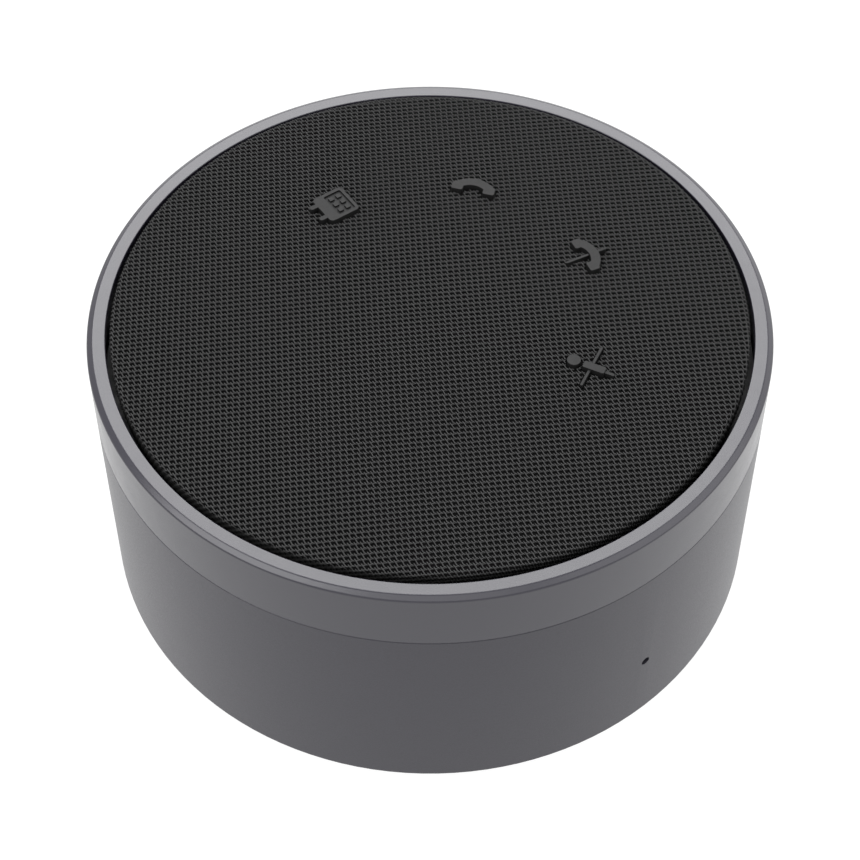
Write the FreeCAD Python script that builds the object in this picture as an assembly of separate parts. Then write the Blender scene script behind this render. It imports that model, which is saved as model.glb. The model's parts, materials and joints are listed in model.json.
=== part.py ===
import FreeCAD, Part
import math
import os

# Round conference speakerphone, millimetres. Z is up, the foot rests on z = 0 and the case axis is Z.
# +X is the user's right and +Y points away from the user, towards the socket at the rear.

Vector = FreeCAD.Vector
ORIGIN = Vector(0, 0, 0)
UP = Vector(0, 0, 1)
ALONG_X = Vector(1, 0, 0)
ALONG_Y = Vector(0, 1, 0)

# ---- Case ------------------------------------------------------------------------------
OUTER_R = 60.0           # radius of the case
WALL = 2.4               # thickness of the case wall
CASE_BOTTOM_Z = 1.0      # lower edge of the case above the table
SEAM_Z = 42.6            # joint between the lower housing and the bezel ring
RING_TOP_Z = 55.0        # flat top face of the bezel ring
RING_LIP_R = 56.7        # inner edge of that face
RING_FLAT_R = 59.0       # outer edge of that face, where the chamfer starts
CHAMFER_DROP = 0.62      # height of the ring's outer chamfer
EDGE_BREAK = 0.15        # small chamfers along the shells' other edges
SLIP = 0.2               # gap between shells that slide into each other
SKIN_GAP = 0.02          # gap between curved faces that are glued or pressed together

# ---- Fabric and grille -----------------------------------------------------------------
FABRIC_R = 56.0          # outer radius of the covered grille
FABRIC_T = 0.8           # thickness of the knitted fabric
SHOULDER = 1.0           # radius of the fabric's rounded shoulder
DOME_RISE = 1.1          # height of the dome above the shoulder
GRILLE_T = 1.6
GRILLE_SKIRT_T = 2.0
HEM_BOTTOM_Z = 50.7      # underside of the fabric hem that is folded below the skirt
HEM_R = 52.6
SOUND_HOLE_R = 1.1
SOUND_HOLE_PITCH = 4.0   # between the rings of sound holes, and about between holes in a ring
SOUND_RINGS = 5

# ---- Keys ------------------------------------------------------------------------------
KEY_CIRCLE_R = 30.6
KEY_ANGLES = {"meeting": 125.0, "call": 75.0, "end_call": 25.0, "mute": -25.0}
KEY_PROUD = 0.7          # height of the symbols above the fabric
KEY_LOW_BAR = 0.3        # how much lower the thin strokes of a symbol are
KEY_CAP_R = 5.2
KEY_FLANGE_R = 6.2
KEY_CAP_TOP_Z = 55.75
KEY_CAP_BOTTOM_Z = 54.0
KEY_FLANGE_T = 0.8
KEY_STEM_R = 1.5
KEY_TRAVEL = 0.35
SYMBOL_CLEARANCE = 0.15  # between a symbol and the edge of its opening in the fabric
PLUNGER_TOP_Z = 52.2
PLUNGER_R = 1.05
SWITCH_SIZE = 4.5
SWITCH_H = 1.6

# ---- Chassis, speaker box and base -----------------------------------------------------
CHASSIS_Z = 44.6         # underside of the chassis plate
CHASSIS_T = 2.0
CHASSIS_TOP_Z = CHASSIS_Z + CHASSIS_T
CHASSIS_R = 57.3
POST_R = 51.0            # circle of the four posts that carry base and chassis
POST_ANGLES = (15, 105, 195, 285)
POST_RADIUS = 3.5
GRILLE_POST_R = 48.0
GRILLE_POST_ANGLES = (35, 120, 215, 300)
BOX_R = 38.0             # outside of the sealed speaker box
BOX_FLANGE_R = 42.0
BOX_WALL = 2.0
BOX_BOTTOM_Z = 12.0
BOX_FLANGE_Z = 41.8
BOX_SCREW_R = 40.0
BOX_SCREW_ANGLES = range(0, 360, 60)
BASE_R = 57.3
BASE_BOTTOM_Z = 1.2
BASE_TOP_Z = 4.0
FOOT_INNER_R = 42.0
FOOT_OUTER_R = 54.0
FOOT_TOP_Z = 2.0

# ---- Loudspeaker driver ----------------------------------------------------------------
DRIVER_FLANGE_Z = 47.2
DRIVER_FLANGE_TOP_Z = 48.6
DRIVER_FLANGE_R = 27.5
DRIVER_SCREW_R = 25.6
DRIVER_SCREW_ANGLES = (50, 140, 230, 320)
BASKET_BOTTOM_Z = 36.4
SPIDER_Z = 39.4
YOKE_BOTTOM_Z = 24.9
MAGNET_Z = 27.4
TOP_PLATE_Z = 34.4
POLE_R = 6.0
FORMER_R = 6.6           # outside of the voice coil former
COIL_R = 7.0
CONE_R = 18.6

# ---- Electronics -----------------------------------------------------------------------
BOARD_Z = 6.0            # underside of the main board
BOARD_T = 1.6
BOARD_TOP_Z = BOARD_Z + BOARD_T
BOARD_R = 45.5
BOARD_SCREW_R = 33.0
BOARD_SCREW_ANGLES = (20, 110, 200, 290)
KEY_BOARD_Z = 48.8
KEY_BOARD_T = 1.0
KEY_BOARD_TOP_Z = KEY_BOARD_Z + KEY_BOARD_T
KEY_BOARD_RADII = (28.2, 37.0)
KEY_BOARD_SPAN = (-37.0, 152.0)
KEY_BOARD_SCREW_R = 34.8
KEY_BOARD_SCREW_ANGLES = (0, 50, 100)
FLEX_ANGLE = 146.0       # direction in which the flat cable leaves the key board
FLEX_DOWN_R = 45.5       # where it runs down past the speaker box
FLEX_WIDTH = 6.0
FLEX_T = 0.3
LEAD_ENTRY_Z = 8.7       # height at which wires enter the board connectors
CONNECTOR_OUTER_R = 44.6
MIC_ANGLES = {"front": -51.0, "rear": 129.0}
MIC_Z = 17.0
MIC_HOLE_R = 0.85
SOCKET_Z = 9.2           # centre of the USB-C socket
SOCKET_WIDTH = 8.94
SOCKET_HEIGHT = 3.2
SOCKET_FACE_Y = 59.0
SPEAKER_LEAD_Z = 20.0    # where the speaker leads leave the speaker box

# ---- Screws: shank radius, head radius, head height ------------------------------------
CASE_SCREW = (1.2, 2.4, 0.9)
TALL_SCREW = (1.2, 2.4, 1.4)
SMALL_SCREW = (1.0, 2.0, 1.3)
DRIVER_SCREW = (0.9, 1.85, 1.2)
TINY_SCREW = (0.75, 1.5, 0.8)
THREAD_GAP = 0.02
SHANK_GAP = 0.2
CASE_SCREW_LENGTH = 9.0
BOX_SCREW_LENGTH = 6.6
GRILLE_SCREW_LENGTH = 7.4
DRIVER_SCREW_LENGTH = 5.0
KEY_BOARD_SCREW_LENGTH = 2.8
BOARD_SCREW_LENGTH = 4.0

DOME_TOP_Z = RING_TOP_Z + SHOULDER + DOME_RISE
INNER_R = OUTER_R - WALL
FAR = 100.0              # reach of cutting tools that go right through


# ---- Shapes ----------------------------------------------------------------------------
def at(radius, degrees, z=0.0):
    """Point at a radius and an angle about the case axis."""
    angle = math.radians(degrees)
    return Vector(radius * math.cos(angle), radius * math.sin(angle), z)


def rod(centre, radius, z0, z1):
    """Upright cylinder through a point."""
    return Part.makeCylinder(radius, z1 - z0, Vector(centre.x, centre.y, z0))


def ring(inner_r, outer_r, z0, z1):
    """Flat ring about the case axis."""
    return rod(ORIGIN, outer_r, z0, z1).cut(rod(ORIGIN, inner_r, z0 - 1, z1 + 1))


def block(x0, x1, y0, y1, z0, z1):
    return Part.makeBox(x1 - x0, y1 - y0, z1 - z0, Vector(x0, y0, z0))


def turned(shape, degrees):
    """Copy of a shape, turned about the case axis."""
    copy = shape.copy()
    copy.rotate(ORIGIN, UP, degrees)
    return copy


def united(shapes):
    return shapes[0].multiFuse(shapes[1:]).removeSplitter() if len(shapes) > 1 else shapes[0]


def without(shape, tools):
    return shape.cut(Part.makeCompound(tools)) if tools else shape


def outline(steps):
    """Closed wire of radii and heights. A step is a point, or a pair: a point on an arc and its end."""
    edges = []
    here = Vector(steps[0][0], 0, steps[0][1])
    for step in list(steps[1:]) + [steps[0]]:
        arc = isinstance(step[0], tuple)
        end = Vector(step[1][0], 0, step[1][1]) if arc else Vector(step[0], 0, step[1])
        if arc:
            through = Vector(step[0][0], 0, step[0][1])
            edges.append(Part.Arc(here, through, end).toShape())
        elif end.distanceToPoint(here) > 1e-6:
            edges.append(Part.LineSegment(here, end).toShape())
        here = end
    return Part.Wire(edges)


def revolved(*steps):
    """Solid of revolution about the case axis."""
    return Part.Face(outline(steps)).revolve(ORIGIN, UP, 360)


def crown_z(radius, top_z, rim_r, rim_z):
    """Height at a radius of the spherical cap that has this top and this rim."""
    rise = top_z - rim_z
    sphere_r = (rim_r ** 2 + rise ** 2) / (2 * rise)
    return top_z - sphere_r + math.sqrt(sphere_r ** 2 - radius ** 2)


def dome_z(radius, depth=0.0):
    """Height of the domed top at a radius, or of the surface that lies a depth below it."""
    return crown_z(radius, DOME_TOP_Z, FABRIC_R - SHOULDER, DOME_TOP_Z - DOME_RISE) - depth


def dome_arc(start_r, end_r, depth=0.0):
    """Step of an outline that follows the dome from one radius to another."""
    middle_r = (start_r + end_r) / 2
    return ((middle_r, dome_z(middle_r, depth)), (end_r, dome_z(end_r, depth)))


def screw(seat, length, size, pointing_up=False):
    """Pan-head screw with a cross recess; seat is the middle of the face under its head."""
    shank_r, head_r, head_h = size
    body = rod(ORIGIN, head_r, 0, head_h).fuse(rod(ORIGIN, shank_r, -length, 0)).removeSplitter()
    recess = block(-0.6 * head_r, 0.6 * head_r, -0.14 * head_r, 0.14 * head_r, 0.4 * head_h, head_h + 1)
    body = without(body, [recess, turned(recess, 90)])
    if pointing_up:
        body.rotate(ORIGIN, ALONG_X, 180)
    body.translate(seat)
    return body


def screws(radius, angles, z, length, size, pointing_up=False):
    return [screw(at(radius, angle, z), length, size, pointing_up) for angle in angles]


def threads(radius, angles, z0, z1, size):
    """Tools for the holes that a group of screws cuts its thread in."""
    return [rod(at(radius, angle), size[0] + THREAD_GAP, z0, z1) for angle in angles]


def clear_holes(radius, angles, z0, z1, size):
    """Tools for the holes that a group of screws passes through freely."""
    return [rod(at(radius, angle), size[0] + SHANK_GAP, z0, z1) for angle in angles]


def route(points, largest_r):
    """Straight runs joined by tangent arcs, each as large as its runs and largest_r allow."""
    edges = []
    here = points[0]
    for before, corner, after in zip(points, points[1:], points[2:]):
        back = before - corner
        ahead = after - corner
        half_turn = (math.pi - back.getAngle(ahead)) / 2
        reach = min(0.45 * min(back.Length, ahead.Length), largest_r * math.tan(half_turn))
        radius = reach / math.tan(half_turn)
        back.normalize()
        ahead.normalize()
        inwards = back + ahead
        inwards.normalize()
        enter = corner + back * reach
        leave = corner + ahead * reach
        middle = corner + inwards * (radius / math.cos(half_turn) - radius)
        edges.append(Part.LineSegment(here, enter).toShape())
        edges.append(Part.Arc(enter, middle, leave).toShape())
        here = leave
    edges.append(Part.LineSegment(here, points[-1]).toShape())
    return Part.Wire(edges)


def wire(points, radius, largest_r):
    """Round wire along a route."""
    section = Part.Wire(Part.makeCircle(radius, points[0], points[1] - points[0]))
    return route(points, largest_r).makePipeShell([section], True, True)


def bar_along_y(width, height, y0, y1, z):
    """Bar with fully rounded sides, the section of a USB-C plug."""
    radius = height / 2
    straight = width / 2 - radius
    parts = [block(-straight, straight, y0, y1, z - radius, z + radius)]
    for x in (-straight, straight):
        parts.append(Part.makeCylinder(radius, y1 - y0, Vector(x, y0, z), ALONG_Y))
    return united(parts)


# ---- Raised symbols, drawn round the origin with +Y pointing outwards on the case -------
def pill(x0, y0, x1, y1, width, z0, z1):
    """Straight stroke with round ends."""
    length = math.hypot(x1 - x0, y1 - y0)
    stroke = block(0, length, -width / 2, width / 2, z0, z1)
    stroke = united([stroke, rod(ORIGIN, width / 2, z0, z1), rod(Vector(length, 0, 0), width / 2, z0, z1)])
    stroke.rotate(ORIGIN, UP, math.degrees(math.atan2(y1 - y0, x1 - x0)))
    stroke.translate(Vector(x0, y0, 0))
    return stroke


def pad(x, y, width, height, corner, z0, z1):
    """Rectangle with rounded corners, centred on a point."""
    solid = block(x - width / 2, x + width / 2, y - height / 2, y + height / 2, z0, z1)
    upright = [edge for edge in solid.Edges if abs(edge.tangentAt(edge.FirstParameter).z) > 0.9]
    return solid.makeFillet(corner, upright)


def band(x, y, radius, width, half_span, z0, z1):
    """Stroke along an arc that is centred on the +Y direction."""
    centre = Vector(x, y, 0)
    full = rod(centre, radius + width / 2, z0, z1).cut(rod(centre, radius - width / 2, z0 - 1, z1 + 1))
    reach = 4 * radius
    wedge = Part.makePolygon([
        Vector(x, y, z0 - 1),
        Vector(x - reach * math.sin(half_span), y + reach * math.cos(half_span), z0 - 1),
        Vector(x + reach * math.sin(half_span), y + reach * math.cos(half_span), z0 - 1),
        Vector(x, y, z0 - 1)])
    return full.common(Part.Face(wedge).extrude(UP * (z1 - z0 + 2)))


HANDSET_ARC = (-2.58, 4.06, 1.73)        # centre height, radius and width of the handle
HANDSET_HALF_SPAN = math.radians(50)
HANDSET_END = (2.95, -0.1, 2.15, 1.85)   # place, width and height of the ear and mouth pieces
CALENDAR = (6.6, 6.2)                    # width and height of the calendar sheet


def handset(z0, z1, grow):
    """Telephone handset, hollow side towards the middle of the case."""
    y, radius, width = HANDSET_ARC
    end_x, end_y, end_w, end_h = HANDSET_END
    parts = [band(0, y, radius, width + 2 * grow, HANDSET_HALF_SPAN, z0, z1)]
    for side in (-1, 1):
        parts.append(pad(side * end_x, end_y, end_w + 2 * grow, end_h + 2 * grow, 0.35 + grow, z0, z1))
    return parts


def call_symbol(z0, z1, grow=0.0):
    return handset(z0, z1, grow)


def end_call_symbol(z0, z1, grow=0.0):
    stroke = pill(0.1, -3.8, -0.1, 3.8, 0.5 + 2 * grow, z0, z1 - KEY_LOW_BAR)
    return handset(z0, z1, grow) + [stroke]


def mute_symbol(z0, z1, grow=0.0):
    """Hand microphone with its head towards the middle, and a stroke across it."""
    return [
        rod(Vector(0.3, -3.3, 0), 1.2 + grow, z0, z1),
        pad(0.35, 0.5, 1.5 + 2 * grow, 4.0 + 2 * grow, 0.3 + grow, z0, z1),
        pill(0.35, 2.0, 0.35, 3.9, 0.6 + 2 * grow, z0, z1 - KEY_LOW_BAR),
        pill(-4.3, -0.1, 4.6, -0.1, 0.5 + 2 * grow, z0, z1 - KEY_LOW_BAR)]


def meeting_symbol(z0, z1, grow=0.0):
    """Calendar sheet with two binder tabs."""
    width, height = CALENDAR
    parts = [pad(0, -0.6, width + 2 * grow, height + 2 * grow, 0.8 + grow, z0, z1)]
    for x in (-1.6, 1.6):
        parts.append(pill(x, 1.5, x, 3.5, 0.9 + 2 * grow, z0, z1))
    return parts


def calendar_recess(top_z):
    """Sunk field of the calendar, less the squares for its days."""
    width, height = CALENDAR
    depth = 0.35
    field = pad(0, -1.35, width - 1.3, height - 2.7, 0.3, top_z - depth, top_z + 1)
    days = []
    for x in (-1.55, 0, 1.55):
        for y in (-0.6, -2.1):
            days.append(block(x - 0.45, x + 0.45, y - 0.45, y + 0.45, top_z - 2, top_z + 2))
    return without(field, days)


SYMBOLS = {"meeting": meeting_symbol, "call": call_symbol, "end_call": end_call_symbol, "mute": mute_symbol}
SYMBOL_TURN = {"meeting": 90.0, "call": 0.0, "end_call": 0.0, "mute": 0.0}


def onto_key(shape, name):
    """Move a shape drawn round the origin to its key."""
    angle = KEY_ANGLES[name]
    placed = turned(shape, angle - 90 + SYMBOL_TURN[name])
    placed.translate(at(KEY_CIRCLE_R, angle))
    return placed


# ---- Case ------------------------------------------------------------------------------
def lower_housing():
    wall = revolved(
        (INNER_R, CASE_BOTTOM_Z), (OUTER_R - EDGE_BREAK, CASE_BOTTOM_Z), (OUTER_R, CASE_BOTTOM_Z + EDGE_BREAK),
        (OUTER_R, SEAM_Z - EDGE_BREAK), (OUTER_R - EDGE_BREAK, SEAM_Z), (INNER_R, SEAM_Z),
        (INNER_R, BASE_TOP_Z + 2), (INNER_R - 1.8, BASE_TOP_Z + 2), (INNER_R - 1.8, BASE_TOP_Z),
        (INNER_R, BASE_TOP_Z))
    parts = [wall]
    for angle in POST_ANGLES:
        parts.append(rod(at(POST_R, angle), POST_RADIUS, BASE_TOP_Z, CHASSIS_Z))
        parts.append(turned(block(POST_R, INNER_R + 0.5, -1, 1, BASE_TOP_Z, SEAM_Z - 4), angle))
    for angle in MIC_ANGLES.values():
        for side in (-1, 1):
            rib = block(52.6, INNER_R + 0.5, side * 4.7 - 0.5, side * 4.7 + 0.5, MIC_Z - 4.8, MIC_Z + 4.5)
            parts.append(turned(rib, angle))
        parts.append(turned(block(53.5, INNER_R + 0.5, -5.2, 5.2, MIC_Z - 4.8, MIC_Z - 3.8), angle))
    body = united(parts)
    tools = threads(POST_R, POST_ANGLES, BASE_TOP_Z - 1, BASE_TOP_Z + CASE_SCREW_LENGTH, CASE_SCREW)
    tools += threads(POST_R, POST_ANGLES, CHASSIS_Z - CASE_SCREW_LENGTH, CHASSIS_Z + 1, TALL_SCREW)
    for angle in MIC_ANGLES.values():
        hole = Part.makeCylinder(MIC_HOLE_R, 6, Vector(INNER_R - 2, 0, MIC_Z), ALONG_X)
        tools.append(turned(hole, angle))
    tools.append(bar_along_y(SOCKET_WIDTH + 0.4, SOCKET_HEIGHT + 0.4, INNER_R - 3, OUTER_R + 1, SOCKET_Z))
    return without(body, tools)


def bezel_ring():
    spigot_r = INNER_R - SLIP
    seat_z = CHASSIS_Z - 1.6
    return revolved(
        (RING_LIP_R + EDGE_BREAK, RING_TOP_Z), (RING_FLAT_R, RING_TOP_Z),
        ((OUTER_R - 0.36, RING_TOP_Z - 0.2), (OUTER_R, RING_TOP_Z - CHAMFER_DROP)),
        (OUTER_R, SEAM_Z + EDGE_BREAK), (OUTER_R - EDGE_BREAK, SEAM_Z),
        (spigot_r, SEAM_Z), (spigot_r, SEAM_Z - 3), (spigot_r - 1.4, SEAM_Z - 3), (spigot_r - 1.4, seat_z),
        (55.0, seat_z), (55.0, CHASSIS_Z), (INNER_R, CHASSIS_Z), (INNER_R, RING_TOP_Z - 2),
        (RING_LIP_R, RING_TOP_Z - 2), (RING_LIP_R, RING_TOP_Z - EDGE_BREAK))


def base_cover():
    parts = [rod(ORIGIN, BASE_R, BASE_BOTTOM_Z, BASE_TOP_Z)]
    parts += [rod(at(BOARD_SCREW_R, angle), 2.6, BASE_TOP_Z - 1, BOARD_Z) for angle in BOARD_SCREW_ANGLES]
    tools = [ring(FOOT_INNER_R - SLIP, FOOT_OUTER_R + SLIP, BASE_BOTTOM_Z - 1, FOOT_TOP_Z)]
    tools += clear_holes(POST_R, POST_ANGLES, 0, FAR, CASE_SCREW)
    tools += [rod(at(POST_R, angle), CASE_SCREW[1] + SHANK_GAP, 0, FOOT_TOP_Z + 1) for angle in POST_ANGLES]
    tools += threads(BOARD_SCREW_R, BOARD_SCREW_ANGLES, BASE_TOP_Z - 1, FAR, SMALL_SCREW)
    return without(united(parts), tools)


def rubber_foot():
    edge = 0.6
    slant = edge * (1 - math.sqrt(0.5))
    return revolved(
        (FOOT_INNER_R, FOOT_TOP_Z), (FOOT_INNER_R, edge),
        ((FOOT_INNER_R + slant, slant), (FOOT_INNER_R + edge, 0)), (FOOT_OUTER_R - edge, 0),
        ((FOOT_OUTER_R - slant, slant), (FOOT_OUTER_R, edge)), (FOOT_OUTER_R, FOOT_TOP_Z))


# ---- Grille and fabric -----------------------------------------------------------------
def fabric_cover():
    edge_r = FABRIC_R - SHOULDER
    inner_r = FABRIC_R - FABRIC_T
    slant = math.sqrt(0.5)
    small = SHOULDER - FABRIC_T
    cover = revolved(
        (0, dome_z(0)), dome_arc(0, edge_r),
        ((edge_r + SHOULDER * slant, RING_TOP_Z + SHOULDER * slant), (FABRIC_R, RING_TOP_Z)),
        (FABRIC_R, HEM_BOTTOM_Z), (HEM_R, HEM_BOTTOM_Z), (HEM_R, HEM_BOTTOM_Z + FABRIC_T),
        (inner_r, HEM_BOTTOM_Z + FABRIC_T), (inner_r, RING_TOP_Z),
        ((edge_r + small * slant, RING_TOP_Z + small * slant), (edge_r, dome_z(edge_r, FABRIC_T))),
        dome_arc(edge_r, 0, FABRIC_T))
    tools = []
    for name, symbol in SYMBOLS.items():
        opening = united(symbol(HEM_BOTTOM_Z + 2, FAR, SYMBOL_CLEARANCE))
        tools.append(onto_key(opening, name))
    return without(cover, tools)


def grille_frame():
    depth = FABRIC_T + SKIN_GAP
    outer_r = FABRIC_R - depth
    skirt_r = outer_r - GRILLE_SKIRT_T
    bottom_z = HEM_BOTTOM_Z + FABRIC_T + SKIN_GAP
    edge_r = outer_r - 0.2
    shell = revolved(
        (0, dome_z(0, depth)), dome_arc(0, edge_r, depth), (outer_r, RING_TOP_Z - 0.1),
        (outer_r, bottom_z), (skirt_r, bottom_z), (skirt_r, dome_z(skirt_r, depth + GRILLE_T)),
        dome_arc(skirt_r, 0, depth + GRILLE_T))
    posts = [rod(at(GRILLE_POST_R, angle), 2.5, CHASSIS_TOP_Z + SLIP, RING_TOP_Z - 0.6)
             for angle in GRILLE_POST_ANGLES]
    tools = [rod(at(KEY_CIRCLE_R, angle), KEY_CAP_R + SLIP, 45, FAR) for angle in KEY_ANGLES.values()]
    tools.append(rod(ORIGIN, SOUND_HOLE_R, 45, FAR))
    for ring_number in range(1, SOUND_RINGS + 1):
        holes = 6 * ring_number
        for hole in range(holes):
            place = at(ring_number * SOUND_HOLE_PITCH, hole * 360 / holes)
            tools.append(rod(place, SOUND_HOLE_R, 45, FAR))
    tools += threads(GRILLE_POST_R, GRILLE_POST_ANGLES, CHASSIS_TOP_Z, 52.6, SMALL_SCREW)
    return without(united([shell] + posts), tools)


# ---- Keys and their switches -----------------------------------------------------------
def key_cap(name):
    top_z = dome_z(KEY_CIRCLE_R) + KEY_PROUD
    flange_bottom_z = KEY_CAP_BOTTOM_Z - KEY_FLANGE_T
    cap = [
        rod(ORIGIN, KEY_CAP_R, KEY_CAP_BOTTOM_Z - 0.1, KEY_CAP_TOP_Z),
        rod(ORIGIN, KEY_FLANGE_R, flange_bottom_z, KEY_CAP_BOTTOM_Z),
        rod(ORIGIN, KEY_STEM_R, PLUNGER_TOP_Z + SKIN_GAP, flange_bottom_z + 0.1)]
    body = united(cap + SYMBOLS[name](KEY_CAP_TOP_Z - 0.1, top_z))
    if name == "meeting":
        body = body.cut(calendar_recess(top_z))
    return onto_key(body, name)


def switch_plunger(angle):
    return rod(at(KEY_CIRCLE_R, angle), PLUNGER_R, KEY_BOARD_TOP_Z + 0.65, PLUNGER_TOP_Z)


def key_switches():
    half = SWITCH_SIZE / 2
    switches = []
    for angle in KEY_ANGLES.values():
        case = block(KEY_CIRCLE_R - half, KEY_CIRCLE_R + half, -half, half,
                     KEY_BOARD_TOP_Z, KEY_BOARD_TOP_Z + SWITCH_H)
        well = rod(Vector(KEY_CIRCLE_R, 0, 0), PLUNGER_R + 0.08, KEY_BOARD_TOP_Z + 0.2, FAR)
        switches.append(turned(case.cut(well), angle))
    return switches


def key_board():
    inner_r, outer_r = KEY_BOARD_RADII
    start, end = KEY_BOARD_SPAN
    sector = Part.makeCylinder(outer_r, KEY_BOARD_T, at(0, 0, KEY_BOARD_Z), UP, end - start)
    board = turned(sector, start).cut(rod(ORIGIN, inner_r, 40, 60))
    return without(board, clear_holes(KEY_BOARD_SCREW_R, KEY_BOARD_SCREW_ANGLES, 40, 60, TINY_SCREW))


def flex_connectors():
    upper = block(29.6, 33.0, -4, 4, KEY_BOARD_TOP_Z, KEY_BOARD_TOP_Z + 1.2)
    lower = block(38.6, 42.0, -4, 4, BOARD_TOP_Z, BOARD_TOP_Z + 2.0)
    return [turned(upper, FLEX_ANGLE), turned(lower, FLEX_ANGLE)]


def key_flex_cable():
    """Flat cable from the key board, down past the speaker box, to the main board."""
    upper_z = KEY_BOARD_TOP_Z + 0.6
    lower_z = BOARD_TOP_Z + 1.3
    path = route([Vector(33.0, 0, upper_z), Vector(FLEX_DOWN_R, 0, upper_z),
                  Vector(FLEX_DOWN_R, 0, lower_z), Vector(42.0, 0, lower_z)], 2.0)
    half_w = FLEX_WIDTH / 2
    half_t = FLEX_T / 2
    corners = [(-half_w, -half_t), (half_w, -half_t), (half_w, half_t), (-half_w, half_t), (-half_w, -half_t)]
    section = Part.makePolygon([Vector(33.0, y, upper_z + z) for y, z in corners])
    return turned(path.makePipeShell([section], True, False), FLEX_ANGLE)


# ---- Chassis and speaker box -----------------------------------------------------------
def top_chassis():
    parts = [ring(23.6, CHASSIS_R, CHASSIS_Z, CHASSIS_TOP_Z),
             ring(HEM_R, HEM_R + 2.2, CHASSIS_TOP_Z - 0.5, HEM_BOTTOM_Z - SKIN_GAP)]
    for angle in BOX_SCREW_ANGLES:
        parts.append(rod(at(BOX_SCREW_R, angle), 2.5, CHASSIS_TOP_Z - 0.5, CHASSIS_TOP_Z + 2.6))
    for angle in KEY_BOARD_SCREW_ANGLES:
        parts.append(rod(at(KEY_BOARD_SCREW_R, angle), 1.8, CHASSIS_TOP_Z - 0.5, KEY_BOARD_Z))
    for angle in DRIVER_SCREW_ANGLES:
        parts.append(rod(at(DRIVER_SCREW_R, angle), 2.2, CHASSIS_Z - 2.6, CHASSIS_Z + 0.5))
    tools = clear_holes(POST_R, POST_ANGLES, 40, 60, TALL_SCREW)
    tools += [rod(at(POST_R, angle), TALL_SCREW[1] + SHANK_GAP, CHASSIS_TOP_Z, 60) for angle in POST_ANGLES]
    tools += clear_holes(GRILLE_POST_R, GRILLE_POST_ANGLES, 40, 60, SMALL_SCREW)
    tools += threads(BOX_SCREW_R, BOX_SCREW_ANGLES, 40, BOX_FLANGE_Z + BOX_SCREW_LENGTH, SMALL_SCREW)
    tools += threads(KEY_BOARD_SCREW_R, KEY_BOARD_SCREW_ANGLES, CHASSIS_TOP_Z, 60, TINY_SCREW)
    tools += threads(DRIVER_SCREW_R, DRIVER_SCREW_ANGLES, 40, 60, DRIVER_SCREW)
    slot = block(FLEX_DOWN_R - 1, FLEX_DOWN_R + 1, -4, 4, 40, 60)
    tools.append(turned(slot, FLEX_ANGLE))
    return without(united(parts), tools)


def speaker_box():
    corner = 1.2
    slant = corner * (1 - math.sqrt(0.5))
    inner_r = BOX_R - BOX_WALL
    floor_z = BOX_BOTTOM_Z + BOX_WALL
    body = revolved(
        (0, BOX_BOTTOM_Z), (BOX_R - corner, BOX_BOTTOM_Z),
        ((BOX_R - slant, BOX_BOTTOM_Z + slant), (BOX_R, BOX_BOTTOM_Z + corner)),
        (BOX_R, BOX_FLANGE_Z), (BOX_FLANGE_R, BOX_FLANGE_Z), (BOX_FLANGE_R, BOX_FLANGE_Z + BOX_WALL),
        (inner_r, BOX_FLANGE_Z + BOX_WALL), (inner_r, floor_z), (0, floor_z))
    tools = clear_holes(BOX_SCREW_R, BOX_SCREW_ANGLES, 40, 60, SMALL_SCREW)
    tools.append(Part.makeCylinder(2.62, 10, Vector(-BOX_R - 4, 0, SPEAKER_LEAD_Z), ALONG_X))
    return without(body, tools)


def speaker_box_gasket():
    gasket = ring(BOX_R - BOX_WALL + 0.4, BOX_FLANGE_R, BOX_FLANGE_Z + BOX_WALL, CHASSIS_Z)
    return without(gasket, clear_holes(BOX_SCREW_R, BOX_SCREW_ANGLES, 40, 60, SMALL_SCREW))


def lead_grommet():
    """Rubber plug in the speaker box wall, with a hole for each speaker lead."""
    body = Part.makeCylinder(2.6, 4.6, Vector(-BOX_R - 1.2, 0, SPEAKER_LEAD_Z), ALONG_X)
    flange = Part.makeCylinder(3.5, 0.9, Vector(-BOX_R - 1.2, 0, SPEAKER_LEAD_Z), ALONG_X)
    bores = [Part.makeCylinder(0.5, 20, Vector(-BOX_R - 5, y, SPEAKER_LEAD_Z), ALONG_X) for y in (-0.9, 0.9)]
    return without(united([body, flange]), bores)


# ---- Loudspeaker driver ----------------------------------------------------------------
def driver_basket():
    frame = revolved(
        (9.5, BASKET_BOTTOM_Z), (17.8, BASKET_BOTTOM_Z), (17.8, 39.2), (23.2, DRIVER_FLANGE_Z),
        (DRIVER_FLANGE_R, DRIVER_FLANGE_Z), (DRIVER_FLANGE_R, DRIVER_FLANGE_TOP_Z),
        (21.6, DRIVER_FLANGE_TOP_Z), (21.6, DRIVER_FLANGE_Z + 0.4), (16.6, 40.0), (16.6, SPIDER_Z),
        (14.8, SPIDER_Z), (14.8, 37.9), (9.5, 37.9))
    window = block(12, 30, -5.5, 5.5, 40.8, DRIVER_FLANGE_Z - 0.9)
    tools = [turned(window, 30 + 60 * number) for number in range(6)]
    tools += clear_holes(DRIVER_SCREW_R, DRIVER_SCREW_ANGLES, 46, 60, DRIVER_SCREW)
    return without(frame, tools)


def driver_terminals():
    tag = block(-23.0, -20.0, -3.5, 3.5, 42.2, 43.6)
    return tag.cut(driver_basket())


def driver_gasket():
    gasket = ring(23.7, DRIVER_FLANGE_R, CHASSIS_TOP_Z, DRIVER_FLANGE_Z)
    return without(gasket, clear_holes(DRIVER_SCREW_R, DRIVER_SCREW_ANGLES, 40, 60, DRIVER_SCREW))


def driver_yoke():
    return revolved((0, YOKE_BOTTOM_Z), (15.5, YOKE_BOTTOM_Z), (15.5, MAGNET_Z), (POLE_R, MAGNET_Z),
                    (POLE_R, BASKET_BOTTOM_Z + 0.2), (0, BASKET_BOTTOM_Z + 0.2))


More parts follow.
